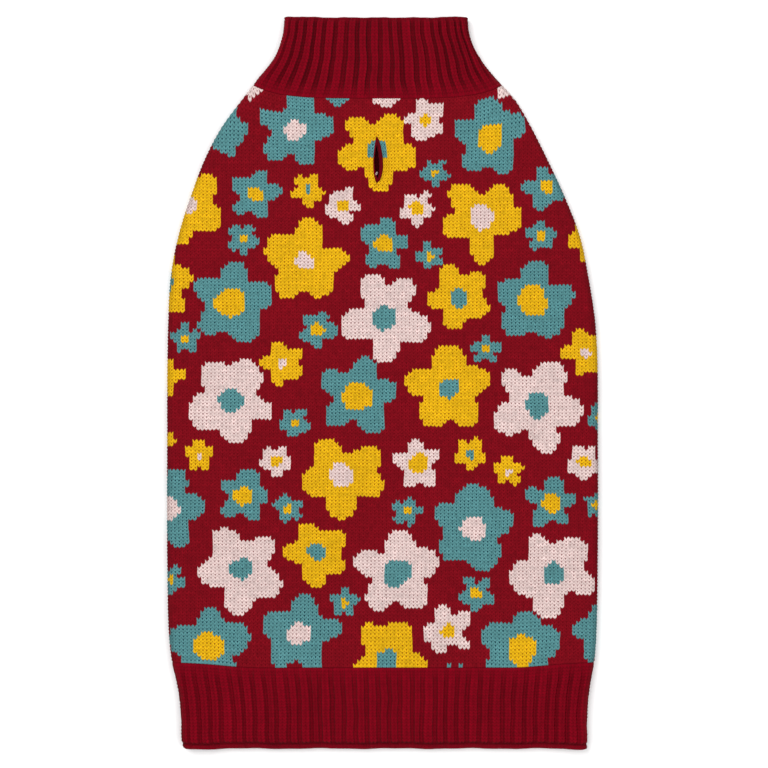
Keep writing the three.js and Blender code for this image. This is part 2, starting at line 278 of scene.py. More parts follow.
def flattened_tube(crowding_by_height):
    """A band's place: at 0 the right fold, at 0.5 the left one, over the top between them."""
    levels, crowdings, leans = np.array(crowding_by_height, float).T

    def place(at, y, depth):
        at = at % 1.0
        over = at < 0.5
        along = np.where(over, 2 * at, 2 - 2 * at)
        crowding = np.radians(np.interp(y, levels, crowdings))
        lean = np.radians(np.interp(y, levels, leans))
        left_end, right_end = np.sin(lean - crowding), np.sin(lean + crowding)
        spread = np.sin((1 - 2 * along) * crowding + lean)
        share = 2 * (spread - left_end) / (right_end - left_end) - 1
        y = y + bow(np.abs(share), y) + edge_wave(share, y)
        left, right = folds(y)
        middle, half = middle_and_half(left, right - np.interp(y, *DRAWN_IN.T))
        x = middle + share * (half - depth)
        into = np.clip((np.abs(x - middle) - (half - FOLD_REACH)) / (FOLD_REACH - depth), 0, 1)
        round_off = np.sqrt(1 - into**2)
        upper = FOLD_HALF + (top_height(x, y) - depth - FOLD_HALF) * round_off
        lower = FOLD_HALF - (FOLD_HALF - depth) * round_off
        return np.stack([x, y, np.where(over, upper, lower)], -1)

    return place


def leg_ring(side):
    """A leg band's place: at goes round the opening, and out is the way out from its edge."""

    def place(at, out, depth):
        angle = 2 * math.pi * at
        x = side * LEG_X + (LEG_ACROSS + out) * np.cos(angle)
        y = LEG_Y + (LEG_ALONG + out) * np.sin(angle)
        return np.stack([x, y, depth], -1)

    return place


class Skin:
    """Triangles of one piece, gathered part by part."""

    def __init__(self):
        self.points, self.faces, self.bake, self.knit = [], [], [], []
        self.yarn, self.tone, self.crests = [], [], []
        self.count = 0

    def add_points(self, place, s, y, depth):
        """Points at grids of cloth coordinates. Gives the first one's number."""
        points = place(*(grid.ravel() for grid in np.broadcast_arrays(s, y, depth)))
        self.points.append(points)
        self.count += len(points)
        return self.count - len(points)

    def add_faces(self, faces, bake, knit, yarn, tone):
        """faces (n, 3); bake and knit (n, 3, 2); yarn and tone one a face."""
        n = len(faces)
        self.faces.append(np.asarray(faces, int))
        self.bake.append(np.asarray(bake, float))
        self.knit.append(np.asarray(knit, float))
        self.yarn.append(np.broadcast_to(yarn, n).astype(float))
        self.tone.append(np.broadcast_to(tone, n).astype(float))

    def build(self, name, material):
        parts = self.faces, self.bake, self.knit, self.yarn, self.tone
        faces, bake, knit, yarn, tone = (np.concatenate(part) for part in parts)
        used, faces = np.unique(faces, return_inverse=True)
        faces = faces.reshape(-1, 3)
        points = np.concatenate(self.points)[used] * MM
        a, b, c = (points[faces[:, i]] for i in range(3))
        if (a * np.cross(b, c)).sum() < 0:
            faces, bake, knit = faces[:, ::-1], bake[:, ::-1], knit[:, ::-1]
        mesh = bpy.data.meshes.new(name)
        mesh.vertices.add(len(points))
        mesh.vertices.foreach_set("co", points.ravel())
        mesh.loops.add(faces.size)
        mesh.loops.foreach_set("vertex_index", faces.ravel())
        mesh.polygons.add(len(faces))
        mesh.polygons.foreach_set("loop_start", np.arange(0, faces.size, 3))
        mesh.update(calc_edges=True)
        bake = bake - bake.reshape(-1, 2).min(0)
        bake = (bake + 1) / (bake.max() + 2)
        for label, values in (("OFBake", bake), ("Knit", knit)):
            mesh.uv_layers.new(name=label).data.foreach_set("uv", values.reshape(-1))
        for label, values in (("yarn", yarn), ("tone", tone)):
            mesh.attributes.new(label, "FLOAT", "FACE").data.foreach_set("value", values)
        if self.crests:
            self.sharpen_valleys(mesh, used)
        mesh.materials.append(material)
        obj = bpy.data.objects.new(name, mesh)
        bpy.context.scene.collection.objects.link(obj)
        return obj

    def sharpen_valleys(self, mesh, used):
        """Shades each yarn leg round, with a sharp edge wherever no leg's crest is touched."""
        crest = np.zeros(self.count, bool)
        crest[np.concatenate(self.crests)] = True
        ends = np.empty(2 * len(mesh.edges), int)
        mesh.edges.foreach_get("vertices", ends)
        valley = ~crest[used][ends.reshape(-1, 2)].any(1)
        mesh.attributes.new("sharp_edge", "BOOLEAN", "EDGE").data.foreach_set("value", valley)


# A cell's corners, as steps of row and column
AROUND = ((0, 0), (0, 1), (1, 1), (1, 0))


def cells(index, keep=None):
    """Row, column and corner vertices of a grid's cells, without those shrunk to a line."""
    rows, columns = index.shape
    r, c = (a.ravel() for a in np.meshgrid(np.arange(rows - 1), np.arange(columns - 1), indexing="ij"))
    corner = np.stack([index[r + dr, c + dc] for dr, dc in AROUND], 1)
    good = ~((corner[:, 0] == corner[:, 1]) & (corner[:, 2] == corner[:, 3]))
    if keep is not None:
        good &= keep[r, c]
    return r[good], c[good], corner[good]


def add_legs(skin, place, index, s, y, crest, columns, layout, yarn, tone, keep=None):
    """One raised yarn leg for each cell of a grid. index, s, y and columns give each corner's vertex,
    cloth coordinates and column number, and crest each cell's depth at its middle."""
    r, c, corner = cells(index, keep)
    corner_s = [s[r + dr, c + dc] for dr, dc in AROUND]
    corner_y = [y[r + dr, c + dc] for dr, dc in AROUND]
    corner_knit = [np.stack([columns[c + dc], r + dr], -1) for dr, dc in AROUND]
    middle_s, middle_y, middle_knit = (sum(four) / 4 for four in (corner_s, corner_y, corner_knit))
    apex = skin.add_points(place, middle_s, middle_y, crest[r, c]) + np.arange(len(r))
    skin.crests.append(apex)
    spots = [layout(corner_s[i], corner_y[i], middle_s) for i in range(4)]
    middle_spot = layout(middle_s, middle_y, middle_s)
    yarn, tone = np.broadcast_to(yarn, crest.shape)[r, c], tone[r, c]
    for a, b in ((0, 1), (1, 2), (2, 3), (3, 0)):
        real = corner[:, a] != corner[:, b]
        faces = np.stack([corner[:, a], corner[:, b], apex], 1)[real]
        bake = np.stack([spots[a], spots[b], middle_spot], 1)[real]
        knit = np.stack([corner_knit[a], corner_knit[b], middle_knit], 1)[real]
        skin.add_faces(faces, bake, knit, yarn[real], tone[real])


def add_quads(skin, corners, spots, knit_scale=1 / HALF_WALE, yarn=GROUND, tone=0.85, bake_from=0.0):
    """Plain cloth: the quads' four corner vertices, and each corner's spot on the maps."""
    for three in ((0, 1, 2), (0, 2, 3)):
        faces = np.stack([corners[i].ravel() for i in three], 1)
        spot = np.stack([spots[i].reshape(-1, 2) for i in three], 1)
        skin.add_faces(faces, spot + bake_from, spot * knit_scale, yarn, tone)


def add_ring(skin, one, other, along, level, width, order):
    """Plain quads between two rows of vertices. along and level are their place on the bake map, and
    order is the way round each quad."""
    corners = one[:-1], other[:-1], other[1:], one[1:]
    here, there = along[:-1], along[1:]
    ends = (here, level), (here, level + width), (there, level + width), (there, level)
    spots = [np.stack([u, np.full(len(u), v)], -1) for u, v in ends]
    add_quads(skin, [corners[i] for i in order], [spots[i] for i in order])


def closed_grid(first, rows, columns):
    """Vertex numbers of a grid whose last column is its first one."""
    index = first + np.arange(rows * columns).reshape(rows, columns)
    index[:, -1] = index[:, 0]
    return index


def knitted_ring(place, at, y, depth, crest, layout, tone):
    """A new skin with a band's outer face, and the vertices of its grid."""
    skin, index = Skin(), closed_grid(0, *at.shape)
    skin.add_points(place, at, y, depth)
    add_legs(skin, place, index, at, y, crest, np.arange(at.shape[1]), layout, GROUND, tone)
    return skin, index


def rims(faces):
    """The loops of vertices along the open edges of triangles, each in the triangles' direction."""
    start, end = faces.ravel(), np.roll(faces, -1, axis=1).ravel()
    start, end = start[start != end], end[start != end]
    low, high = np.minimum(start, end), np.maximum(start, end)
    _, first, counts = np.unique(low * (high.max() + 1) + high, return_index=True, return_counts=True)
    following = {int(start[i]): int(end[i]) for i in first[counts == 1]}
    loops = []
    while following:
        at = next(iter(following))
        loop = []
        while at in following:
            loop.append(at)
            at = following.pop(at)
        loops.append(np.array(loop))
    return loops


def within(triangles, borders):
    """The triangles on the cloth's side of its directed borders."""
    owner = {}
    for number, (a, b, c) in enumerate(triangles.tolist()):
        owner[a, b] = owner[b, c] = owner[c, a] = number
    waiting = [owner[edge] for edge in borders if edge in owner]
    kept = set(waiting)
    while waiting:
        a, b, c = triangles[waiting.pop()].tolist()
        for edge in ((a, b), (b, c), (c, a)):
            beyond = owner.get((edge[1], edge[0]))
            if edge not in borders and beyond is not None and beyond not in kept:
                kept.add(beyond)
                waiting.append(beyond)
    return triangles[sorted(kept)]


def add_lining(skin, place, s, y, inside, spot):
    """Closes a panel: a plain inner face under its stitches, and a rim along each edge. s and y are
    its cloth coordinates, inside more points of the inner face, and spot its bake map's middle."""
    loops = rims(np.concatenate(skin.faces))
    where = np.stack([s.ravel(), y.ravel()], -1)
    flat = np.concatenate([where[np.concatenate(loops)], inside])
    seams, at = [], 0
    for loop in loops:
        n = len(loop)
        seams += [(at + i, at + (i + 1) % n) for i in range(n)]
        at += n
    out = delaunay_2d_cdt([tuple(p) for p in flat.tolist()], seams, [], 0, 1e-6, True)
    made, triangles, origin = np.array([tuple(p) for p in out[0]]), np.array(out[2]), out[3]
    twin = {old: new for new, olds in enumerate(origin) for old in olds}
    triangles = within(triangles, {(twin[a], twin[b]) for a, b in seams})[:, ::-1]
    first = skin.add_points(place, *made.T, CLOTH)
    # Painted shade: the inner face is coloured darker round the slit, where it is seen through it
    middle = made[triangles].mean(1)
    from_slit = np.hypot((middle[:, 0] - SLIT_X) / SLIT_SHADE_ACROSS, (middle[:, 1] - SLIT_Y) / SLIT_SHADE_ALONG)
    tone = 0.3 + 0.55 * smoothstep(from_slit - 0.6)
    spots = made * INNER_SHRINK + spot
    skin.add_faces(first + triangles, spots[triangles], (made / KNIT_CELL)[triangles], GROUND, tone)
    at = 0
    for loop in loops:
        inner = first + np.array([twin[at + i] for i in range(len(loop))])
        add_rim(skin, loop, inner, where[loop])
        at += len(loop)


def add_rim(skin, edge, inner, here):
    """Joins an edge of the outer face to the same edge of the inner one. here is its place."""
    after, inner_after, there = (np.roll(row, -1, 0) for row in (edge, inner, here))
    along = there - here
    aside = np.stack([along[:, 1], -along[:, 0]], -1)
    aside *= RIM_WIDTH / np.maximum(np.linalg.norm(aside, axis=1, keepdims=True), 1e-9)
    for faces, spots in (
        ((after, edge, inner), (there, here, here + aside)),
        ((after, inner, inner_after), (there, here + aside, there + aside)),
    ):
        spots = np.stack(spots, 1)
        skin.add_faces(np.stack(faces, 1), spots, spots / KNIT_CELL, GROUND, 0.8)


def panel_layout(s, y, _):
    """A panel's outer face lies on the bake map as it is knitted."""
    return np.stack([s, y], -1)


def wavering(s, y):
    """Small uneven moves of a knitted grid, smooth over a few stitches."""
    across = 0.22 * np.sin(y / 9.1 + s / 23) + 0.14 * np.sin(y / 4.3 - s / 11 + 1.7)
    along = 0.20 * np.sin(s / 8.3 + y / 31) + 0.12 * np.sin(s / 3.9 - y / 17 + 0.6)
    return across, along


def panel_rows():
    count = round((COLLAR_SEAM - HEM_SEAM) / COURSE)
    return np.linspace(HEM_SEAM, COLLAR_SEAM, count + 1)


def panel_columns(reach):
    """Numbers of the half columns that cover a panel, two of them to a stitch."""
    half = int(reach / HALF_WALE) + 2
    return np.arange(-half, half + 1)


def panel_grid(reaches, columns):
    """Grid of a panel's stitches between its side edges: vertices, and places across and along it.
    Columns past an edge fall onto it."""
    rows = panel_rows()
    free = np.ones((len(rows), 1))
    free[0], free[-1] = 0, 0
    s = np.broadcast_to(columns * WALE / 2, (len(rows), len(columns)))
    y = rows[:, None] + ARM * (columns % 2) * free
    left, right = reaches(y)
    past_left, past_right = s < -left + EDGE_SLACK, s > right - EDGE_SLACK
    s = np.where(past_left, -left, np.where(past_right, right, s))
    across, along = wavering(s, y)
    free = free * ~(past_left | past_right)
    s = s + (across + rng.normal(0, STRAY, s.shape)) * free
    y = y + (along + rng.normal(0, STRAY, s.shape)) * free
    order = np.arange(len(columns))[None, :]
    last_left = np.where(past_left, order, -1).max(1)
    first_right = np.where(past_right, order, len(columns)).min(1)
    target = np.clip(order, last_left[:, None].clip(0), first_right[:, None].clip(None, len(columns) - 1))
    index = np.arange(s.size).reshape(s.shape)
    return tuple(np.take_along_axis(grid, target, 1) for grid in (index, s, y))


def panel_depth(index, noise, end_depth):
    """How deep the corners between a panel's stitches lie, and its last rows and side edges."""
    depth = VALLEY + noise
    depth[0], depth[-1] = end_depth, end_depth
    return np.where((index == index[:, :1]) | (index == index[:, -1:]), EDGE_DEPTH, depth)


def stitch_columns(columns):
    """Which stitch column each half column belongs to, counted from 0, and the first one's number."""
    numbers = (columns[:-1] + 1) // 2
    return numbers - numbers.min(), numbers.min()


def petal_form(reach, petal):
    """Half a petal's length and width, its roundness, and the disc that joins the petals. The small
    teal flowers are stars, and the wide ones are the fullest."""
    if reach < 17 and petal == TEAL:
        return 0.48, 0.32, 2.1, 0.58
    if reach < 22:
        return 0.48, 0.34, 2.4, 0.58
    if petal != TEAL:
        return 0.465, 0.34, 2.15, 0.54
    if reach < 30:
        return 0.465, 0.325, 2.15, 0.54
    return 0.45, 0.35, 2.0, 0.58


def flower_shape(dx, dy, form, turn, seed, room):
    """Whether each stitch is in a flower, grown by room all round. Its petals differ at random."""
    stretch, girth, roundness, disc = form
    own = np.random.default_rng(seed)
    angles, lengths = own.normal(0, PETAL_TURN, 5), own.normal(1, PETAL_LENGTH, 5)
    widths = own.normal(1, PETAL_WIDTH, 5)
    shape = np.hypot(dx, dy) < disc + room
    for i in range(5):
        angle = math.radians(turn + 72 * i + angles[i])
        along = dx * math.cos(angle) + dy * math.sin(angle) - (1 - stretch) * lengths[i]
        across = dy * math.cos(angle) - dx * math.sin(angle)
        long_way = np.abs(along / (stretch + room)) ** roundness
        wide_way = np.abs(across / (girth * widths[i] + room)) ** roundness
        shape |= long_way + wide_way < 1
    return shape


def trimmed(inside):
    """A shape without single stitches that stick out of it, or gaps of one stitch in it."""
    framed = np.pad(inside, 1, mode="edge").astype(int)
    beside = framed[1:-1, :-2] + framed[1:-1, 2:] + framed[:-2, 1:-1] + framed[2:, 1:-1]
    return np.where(inside, beside > 1, beside > 2)


def flower_yarn(s, y):
    """Which yarn each stitch is knitted with."""
    px, py = s / PIXEL_MM + MIDDLE_PX, MIDDLE_PY - y / PIXEL_MM
    yarn = np.full(s.shape, GROUND)
    near_flowers = np.zeros(s.shape, int)
    for number, (cx, cy, reach, petal, heart, heart_reach, turn) in enumerate(FLOWERS):
        dx, dy = (px - cx) / reach, (cy - py) / reach
        form = petal_form(reach, petal)
        inside = flower_shape(dx, dy, form, turn, number, 0)
        near_flowers += flower_shape(dx, dy, form, turn, number, FLOWER_GAP / reach)
        if reach > TRIMMED_FROM:
            inside = trimmed(inside)
        from_middle = np.hypot(dx, dy) * reach
        yarn[inside | (heart == petal) & (from_middle < heart_reach)] = petal
        # A heart is a rounded lump, no two alike
        angle, lean = np.arctan2(dy, dx), math.radians(37 * number)
        uneven = 1 + 0.07 * np.cos(2 * (angle - lean)) + 0.04 * np.cos(3 * (angle + lean))
        yarn[inside & (from_middle < heart_reach * uneven)] = heart
    yarn[near_flowers > 1] = GROUND
    return yarn


def back_reaches(y):
    """How far the back panel reaches to the left and right along itself, under the folds too."""
    left, right = folds(y)
    wrap = ARC + UNDERLAP - 2 * FOLD_REACH
    return left + wrap, right + wrap


def slit_width(y):
    """How wide the slit lies open at each height: widest below its middle."""
    up = np.clip((y - SLIT_Y) / SLIT_LENGTH + 0.5, 0, 1)
    return SLIT_WIDTH * np.sin(math.pi * up**0.75).clip(0) ** 0.6


def open_slit(index, s, y, at):
    """Pushes the doubled column's two sides apart. Gives the new places across, the points on the
    slit's edge, and the rows in which a crease runs on from its ends."""
    past_middle = np.abs(y[:, at] - SLIT_Y) / (SLIT_LENGTH / 2)
    cut = past_middle < 1
    column = np.arange(s.shape[1])
    side = np.where(column <= at, -1.0, 1.0)
    share = np.where(column <= at, SLIT_LEFT, 1 - SLIT_LEFT)
    push = share * slit_width(y) * np.maximum(0, 1 - np.abs(s - SLIT_X) / SLIT_SPREAD) ** 2
    on_edge = cut[:, None] & ((column == at) | (column == at + 1))
    s = np.where(on_edge, SLIT_X, s) + side * push
    index[~cut, at + 1] = index[~cut, at]
    s[~cut, at + 1] = s[~cut, at]
    y[:, at + 1] = y[:, at]
    return s, on_edge, ~cut & (past_middle < CREASE_END)


def back_inner_points():
    """Points that lead the back's inner face round the folds and over the rises, clear of the slit."""
    points = []
    for row in np.arange(HEM_SEAM + 6, COLLAR_SEAM - 4, 8.0):
        left, right = (float(reach) for reach in folds(np.array(row)))
        for reach, way in ((left, -1), (right, 1)):
            flat = reach - FOLD_REACH
            spots = [flat + ARC * step / 5 for step in range(6)] + [flat + ARC + 10]
            points += [(way * spot, row) for spot in spots]
        across = np.arange(-left + 13, right - 12, 8.0)
        clear = (np.abs(across - SLIT_X) > 7) | (abs(row - SLIT_Y) > 18)
        points += [(spot, row) for spot in across[clear]]
    return np.array(points)


def make_back(material):
    columns = panel_columns(max(reach.max() for reach in back_reaches(OUTLINE[:, 0])))
    # The column at the slit is doubled, for its two sides
    at = int(np.argmax(columns == round(SLIT_X / HALF_WALE)))
    columns = np.insert(columns, at, columns[at])
    index, s, y = panel_grid(back_reaches, columns)
    s, on_edge, creased = open_slit(index, s, y, at)
    numbers, first_number = stitch_columns(columns)
    stitch_s = (np.arange(numbers.max() + 1) + first_number) * WALE
    stitch_s, stitch_y = np.broadcast_arrays(stitch_s, panel_rows()[:-1, None] + (COURSE + ARM) / 2)
    yarn = flower_yarn(stitch_s, wrapped(stitch_s, stitch_y, 0)[..., 1])[:, numbers]
    tone = rng.normal(1, STITCH_TONE, stitch_s.shape)
    # Painted shade where the panel turns down at the folds
    tone *= 1 - FOLD_SHADE * np.sin(fold_round(stitch_s, stitch_y, 0)[2]) ** 2
    depth = panel_depth(index, rng.normal(0, 0.04, index.shape), 0.9)
    depth[on_edge] = 1.0
    depth[creased, at] = 1.5
    crest = rng.normal(0, 0.05, yarn.shape).clip(0, 1)
    keep = np.ones(yarn.shape, bool)
    keep[:, at] = False
    skin = Skin()
    skin.add_points(wrapped, s, y, depth)
    add_legs(skin, wrapped, index, s, y, crest, columns, panel_layout, yarn, tone[:, numbers], keep)
    add_lining(skin, wrapped, s, y, back_inner_points(), BACK_INNER)
    add_yarn_end(skin)
    return skin.build("back_knit", material)


def add_tube(skin, centre, across, radius, depth, yarn, tone, around=10, bake_from=0.0):
    """A round yarn or rolled edge on the back panel along centre, in cloth coordinates, closed on
    itself."""
    angle = np.arange(around) * 2 * math.pi / around
    spots = centre[:, None, :] + across[:, None, :] * (radius[:, None] * np.cos(angle))[..., None]
    depths = depth[:, None] - radius[:, None] * np.sin(angle)
    n = len(centre)
    first = skin.add_points(wrapped, spots[..., 0], spots[..., 1], depths)
    index = first + np.arange(n * around).reshape(n, around)
    a, b = index, np.roll(index, -1, 0)
    ring = [a, b, np.roll(b, -1, 1), np.roll(a, -1, 1)]
    u, v = np.meshgrid(np.arange(n), np.arange(around), indexing="ij")
    steps = ((0, 0), (1, 0), (1, 1), (0, 1))
    spots = [np.stack([u + du, v + dv], -1) * 0.5 for du, dv in steps]
    add_quads(skin, ring, spots, 1.3, yarn, np.broadcast_to(tone, n).repeat(around), bake_from)


def make_slit_binding(material):
    """The slit's rolled edge: thin on the left and at the top, full on the right and below."""
    turn = np.arange(72) * 2 * math.pi / 72
    y = SLIT_Y - SLIT_LENGTH / 2 * np.cos(turn)
    reach = np.where(np.sin(turn) > 0, 1 - SLIT_LEFT, -SLIT_LEFT) * slit_width(y)
    edge = np.stack([SLIT_X + reach, y], -1)
    way = np.roll(edge, -1, 0) - np.roll(edge, 1, 0)
    way /= np.linalg.norm(way, axis=1, keepdims=True)
    inward = np.stack([-way[:, 1], way[:, 0]], -1)
    on_right = (0.5 + 0.5 * np.cos(turn - 1.8)) ** 0.7
    fullness = np.maximum(on_right, 0.9 * (0.5 + 0.5 * np.cos(turn)) ** 4)
    radius = (ROLL_THIN + ROLL_GROWTH * fullness) * (1 + 0.06 * np.sin(turn * 19))
    skin = Skin()
    centre = edge + inward * (0.75 * radius)[:, None]
    add_tube(skin, centre, inward, radius, 0.6 + radius, GROUND, 0.9 - 0.3 * fullness)
    return skin.build("slit_binding", material)


def add_yarn_end(skin):
    """The tiny end of a pale yarn that sticks out at the foot of the slit."""
    turn = np.arange(16) * 2 * math.pi / 16
    loop_x = SLIT_X - 0.3 + 0.34 * np.cos(turn) + 0.3 * np.sin(turn)
    loop_y = SLIT_Y - SLIT_LENGTH * 0.31 + 0.75 * np.sin(turn)
    centre = np.stack([loop_x, loop_y], -1)
    across = np.stack([np.cos(turn), np.sin(turn)], -1)
    thick, deep = np.full(16, 0.3), np.full(16, 0.5)
    add_tube(skin, centre, across, thick, deep, BLUSH, 0.7, around=8, bake_from=YARN_END_SPOT)


def chest_reaches(y):
    """How far the chest panel reaches to the left and right."""
    left, right = folds(y)
    return left - UNDERLAP - SEAM_GAP, right - UNDERLAP - SEAM_GAP


def outside_leg_holes(s, y):
    """Which cells of the chest panel are outside the holes for the leg bands."""
    keep = True
    for side in (-1, 1):
        away = np.hypot((s - side * LEG_X) / HOLE_ACROSS, (y - LEG_Y) / HOLE_ALONG)
        keep = keep & ((away[:-1, :-1] + away[1:, :-1] + away[1:, 1:] + away[:-1, 1:]) / 4 > 1)
    return keep


def round_leg_holes(index, keep, s, y, depth):
    """Draws each leg hole's stepped edge onto its oval, in the same order, and so changes s, y and
    depth."""
    for loop in rims(cells(index, keep)[2]):
        across, along = s.flat[loop], y.flat[loop]
        if np.ptp(across) > 2 * HOLE_ACROSS + 5:
            continue
        side = 1 if across.mean() > 0 else -1
        angle = np.unwrap(np.arctan2((along - LEG_Y) / HOLE_ALONG, (across - side * LEG_X) / HOLE_ACROSS))
        turn = 1 if angle[-1] > angle[0] else -1
        even = angle.mean() + turn * 2 * math.pi * (np.arange(len(loop)) / len(loop) - 0.5)
        angle = 0.7 * np.sort(angle)[::turn] + 0.3 * even
        s.flat[loop] = side * LEG_X + HOLE_ACROSS * np.cos(angle)
        y.flat[loop] = LEG_Y + HOLE_ALONG * np.sin(angle)
        depth.flat[loop] = EDGE_DEPTH


def make_chest(material):
    columns = panel_columns(CHEST_REACH)
    index, s, y = panel_grid(chest_reaches, columns)
    depth = panel_depth(index, rng.normal(0, 0.03, index.shape).clip(-0.05, 0.05), EDGE_DEPTH)
    keep = outside_leg_holes(s, y)
    round_leg_holes(index, keep, s, y, depth)
    numbers, _ = stitch_columns(columns)
    tone = rng.normal(1, STITCH_TONE, (len(keep), numbers.max() + 1))[:, numbers]
    crest = rng.normal(0, 0.03, keep.shape).clip(0, 1)
    skin = Skin()
    skin.add_points(underneath, s, y, depth)
    add_legs(skin, underneath, index, s, y, crest, columns, panel_layout, GROUND, tone, keep)
    add_lining(skin, underneath, s, y, np.zeros((0, 2)), CHEST_INNER)
    return skin.build("chest_knit", material)


# A rib's columns from one groove to the next: place and height, and for the yarn up to the next
# column its height, whether it takes the painted shade of a rib's side or of a groove's middle, and
# how much darker it is painted besides, lighter below 0 as painted highlight streaks on the crowns
RIB_COLUMNS = np.array([
    (0.0, 0.0, 0.05, 0, 1, 0), (0.13, 0.05, 0.45, 1, 0, 0), (0.21, 0.74, 1, 0, 0, -0.12),
    (0.36, 0.98, 1, 0, 0, 0.03), (0.5, 0.88, 1, 0, 0, 0), (0.64, 0.98, 1, 0, 0, -0.1),
    (0.79, 0.74, 0.45, 1, 0, 0), (0.87, 0.05, 0.05, 0, 1, 0),
])

# How far a groove lies off its even place, how far it wanders from there, and how much of both it
# does at even steps from the seam to the edge
RIB_STRAY, RIB_WANDER, WANDER_GROWTH = 0.55, 0.28, np.array([0.2, 0.7, 1, 1, 1, 1])

# How far from a fold the ribs reach their height, how deep the valleys between their yarns are, and
# how much of a groove's depth is left on the upper layer
RIB_FADE, RIB_VALLEY, GROOVE_LEFT = 9, 0.22, 0.15

# Rough girths of the bands, the last ribbed row of each, and how much painted shade darkens its
# ribs' sides and the middles of its grooves
COLLAR_GIRTH, HEM_GIRTH, COLLAR_RIBBED_TO, HEM_RIBBED_TO = 300, 520, 220.6, -220.2
COLLAR_SHADING, HEM_SHADING = (0.47, 0.34), (0.26, 0.09)

# The last rows of the collar and the hem: height, share of the ribs' rise, depth, and painted shade, mostly
# darker where a row lies deep
NECK_ROWS = (
    (221.9, 0.75, 0.0, 1.0), (223.0, 0.35, 0.3, 0.85), (223.9, 0.15, 0.0, 1.0), (224.6, 0.1, 0.3, 0.8),
    (NECK_EDGE, 0.1, 1.2, 0.7),
)
WELT_ROWS = (
    (-220.9, 0.5, 0.5, 0.75), (-221.5, 0.1, 0.85, 0.5), (-222.2, 0.1, 0.35, 0.85),
    (-223.2, 0.15, 0.0, 1.02), (-224.3, 0.1, 0.25, 1.0), (HEM_EDGE, 0.1, 1.2, 0.85),
)

# A leg band's ribs, how deep its valleys and grooves are, how high its stitches' arms rise, and
# where its inner face starts
LEG_RIBS, LEG_VALLEY, LEG_GROOVE, LEG_ARM, LEG_INNER = 27, 0.25, 0.9, 0.6, 0.5

# Its rows: way out from the opening, share of the grooves, depth, and share of the arms' rise
LEG_ROWS = (
    (0.0, 0.2, 1.0, 0), (0.8, 0.6, 0.15, 0.5), (2.2, 1, 0, 1), (3.8, 1, 0, 1), (5.4, 1, 0, 1),
    (6.8, 0.8, 0, 0.5), (LEG_BAND, 0.3, 0.9, 0),
)


def band_rows(start, stop, edge_rows):
    """Courses of a band from its seam to its last ribbed row, and then the edge's own rows. The ribs
    grow out of the seam over a few courses."""
    heights = np.linspace(start, stop, round(abs(stop - start) / COURSE) + 1)
    rows = [(height, min(1.0, 0.1 + 0.22 * number), 0.0, 1.0) for number, height in enumerate(heights)]
    rows[0] = (start, 0.1, SEAM_SINK, 1.0)
    return np.array(rows + list(edge_rows))


def rib_columns(ribs):
    """Each column's place all round, from 0 to 1, and its height, and the height of the yarn up to
    the next one. The last column closes the ring."""
    steps, lifts, crests = RIB_COLUMNS[:, :3].T
    at = np.append((np.arange(ribs)[:, None] + steps).ravel() / ribs, 1.0)
    return at, np.append(np.tile(lifts, ribs), lifts[0]), np.tile(crests, ribs)


def rib_wander(own, heights, ribs, girth):
    """How far off its even place each column is in each row. Each groove wanders on its own, and
    takes the columns beside it along."""
    steps, knots = RIB_COLUMNS[:, 0], np.linspace(heights[0], heights[-1], len(WANDER_GROWTH))
    wander = own.normal(0, RIB_STRAY, (ribs, 1)) + own.normal(0, RIB_WANDER, (ribs, len(knots)))
    wander *= WANDER_GROWTH / girth
    rising = np.argsort(knots)
    wander = np.stack([np.interp(heights, knots[rising], line[rising]) for line in wander], 1)
    wander = np.concatenate([wander, wander[:, :1]], 1)
    wander = wander[:, :-1, None] * (1 - steps) + wander[:, 1:, None] * steps
    wander = wander.reshape(len(heights), -1)
    return np.concatenate([wander, wander[:, :1]], 1)


def rib_depth(lift, up, share, sink):
    """How deep each column of each row lies. Ribs rise where up is 1, on the upper layer, and only
    their grooves show on the lower one, at -1."""
    rise = RIB_RISE * np.maximum(0, up) * lift
    groove = (GROOVE_LEFT + (1 - GROOVE_LEFT) * np.maximum(0, -up)) * (1 - lift)
    return (groove - rise) * share[:, None] + sink[:, None]


def rib_tone(own, ribs, shares, shades, shading):
    """Each cell's tone: painted shade on the ribs' sides, in the grooves and on deep rows, painted
    highlight streaks on the crowns, and random differences, no two ribs alike.
    """
    sides, middles, streaks = RIB_COLUMNS[:, 3:].T
    dark = shading[0] * sides + shading[1] * middles + streaks
    count = ribs * len(dark)
    tone = own.normal(1, 0.03, (len(shares) - 1, count // 2)).repeat(2, 1)
    strength = own.normal(1, 0.15, ribs).repeat(len(dark)) * np.tile(dark, ribs)
    tone *= 1 - between(shares)[:, None] * strength
    return tone * own.normal(1, 0.035, count) * between(shades)[:, None]


